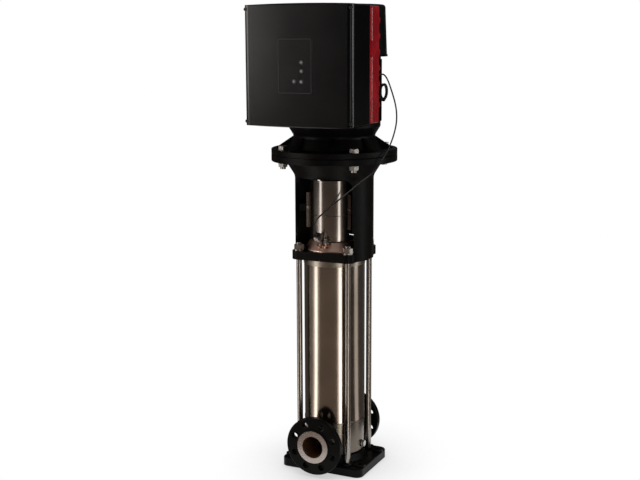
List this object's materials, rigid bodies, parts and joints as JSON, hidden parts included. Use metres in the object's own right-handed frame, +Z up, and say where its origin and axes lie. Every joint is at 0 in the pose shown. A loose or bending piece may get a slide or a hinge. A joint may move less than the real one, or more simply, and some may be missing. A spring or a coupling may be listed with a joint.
{
  "type": "vertical multistage pump",
  "caption": "Vertical multistage pump: foot, flanged ports, steel sleeve held by staybolts, motor stool with guards, flanged motor and a control box with a red heat sink.",
  "frame": {"origin": "middle of the foot's lower face, on the shaft's axis", "axes": "+Z up along the shaft, -Y towards the inlet and the control box's front, +X to the right seen from the front"},
  "size_m": [0.363, 0.4045, 1.303],
  "materials": {
    "black_iron": "satin black enamel on a cast surface",
    "sleeve_steel": "polished stainless sheet",
    "base_steel": "satin stainless",
    "head_steel": "turned stainless",
    "guard_steel": "polished stainless sheet",
    "staybolt_steel": "plain bright rod",
    "fastener_steel": "zinc plated",
    "fitting_steel": "turned stainless",
    "stage_steel": "pressed stainless sheet",
    "impeller_steel": "welded stainless sheet",
    "shaft_steel": "ground",
    "coupling_iron": "machined",
    "seal_ceramic": "lapped hard seal material",
    "seal_rubber": "moulded",
    "motor_black": "satin black enamel",
    "bearing_steel": "ground",
    "lamination_steel": "stacked sheets with windings",
    "fan_plastic": "moulded",
    "cover_black": "satin black enamel",
    "box_black": "finely grained moulding",
    "screw_black": "blackened",
    "sink_red": "glossy red enamel",
    "board_green": "lacquered board",
    "panel_black": "smooth sheet",
    "key_grey": "soft keys",
    "gland_black": "moulded",
    "cable_black": "smooth sheath"
  },
  "bodies": {
    "pump": {"box_cover": "box_black", "cable_glands": "gland_black", "chamber_1": "stage_steel", "chamber_2": "stage_steel", "chamber_3": "stage_steel", "chamber_4": "stage_steel", "chamber_5": "stage_steel", "chamber_6": "stage_steel", "control_panel": "panel_black", "coupling_guard_back": "guard_steel", "coupling_guard_front": "guard_steel", "cover_screws": "screw_black", "drain_plug": "fastener_steel", "drive_end_shield": "black_iron", "fan_cover": "cover_black", "fan_end_shield": "motor_black", "foot_plate": "black_iron", "guard_screws": "fastener_steel", "heat_sink": "sink_red", "lead_loop": "cable_black", "motor_bearings": "bearing_steel", "motor_bolts": "fastener_steel", "motor_housing": "motor_black", "motor_nuts": "fastener_steel", "motor_stool": "black_iron", "outer_sleeve": "sleeve_steel", "power_board": "board_green", "pressure_sensor": "fitting_steel", "pump_base": "base_steel", "pump_head": "head_steel", "seal_seat": "seal_ceramic", "sensor_cable": "cable_black", "sensor_connector": "gland_black", "sleeve_o_rings": "seal_rubber", "stator": "lamination_steel", "staybolt_nuts": "fastener_steel", "staybolt_washers": "fastener_steel", "staybolts": "staybolt_steel", "suction_guide": "stage_steel", "top_chamber": "stage_steel", "vent_plug": "fitting_steel"},
    "rotor": {"pump_shaft": "shaft_steel", "seal_ring": "seal_ceramic", "coupling_halves": "coupling_iron", "coupling_screws": "fastener_steel", "motor_shaft": "shaft_steel", "rotor_core": "lamination_steel", "cooling_fan": "fan_plastic", "impeller_1": "impeller_steel", "impeller_2": "impeller_steel", "impeller_3": "impeller_steel", "impeller_4": "impeller_steel", "impeller_5": "impeller_steel", "impeller_6": "impeller_steel"},
    "inlet_flange": {"inlet_flange": "black_iron"},
    "outlet_flange": {"outlet_flange": "black_iron"},
    "key_up": {"key_up": "key_grey"},
    "key_down": {"key_down": "key_grey"},
    "key_start": {"key_start": "key_grey"},
    "key_stop": {"key_stop": "key_grey"}
  },
  "joints": [
    {"name": "rotor_spin", "type": "hinge", "parent": "pump", "child": "rotor", "pos_m": [0, 0, 0], "axis": [0, 0, 1], "continuous": true},
    {"name": "inlet_flange_turn", "type": "hinge", "parent": "pump", "child": "inlet_flange", "pos_m": [0, -0.1357, 0.09], "axis": [0, 1, 0], "continuous": true},
    {"name": "outlet_flange_turn", "type": "hinge", "parent": "pump", "child": "outlet_flange", "pos_m": [0, 0.1357, 0.09], "axis": [0, 1, 0], "continuous": true},
    {"name": "key_up_press", "type": "slide", "parent": "pump", "child": "key_up", "axis": [0, 1, 0], "range_m": [0, 0.001], "stiffness_N_per_m": 600, "springref_m": -0.0005},
    {"name": "key_down_press", "type": "slide", "parent": "pump", "child": "key_down", "axis": [0, 1, 0], "range_m": [0, 0.001], "stiffness_N_per_m": 600, "springref_m": -0.0005},
    {"name": "key_start_press", "type": "slide", "parent": "pump", "child": "key_start", "axis": [0, 1, 0], "range_m": [0, 0.001], "stiffness_N_per_m": 600, "springref_m": -0.0005},
    {"name": "key_stop_press", "type": "slide", "parent": "pump", "child": "key_stop", "axis": [0, 1, 0], "range_m": [0, 0.001], "stiffness_N_per_m": 600, "springref_m": -0.0005}
  ]
}
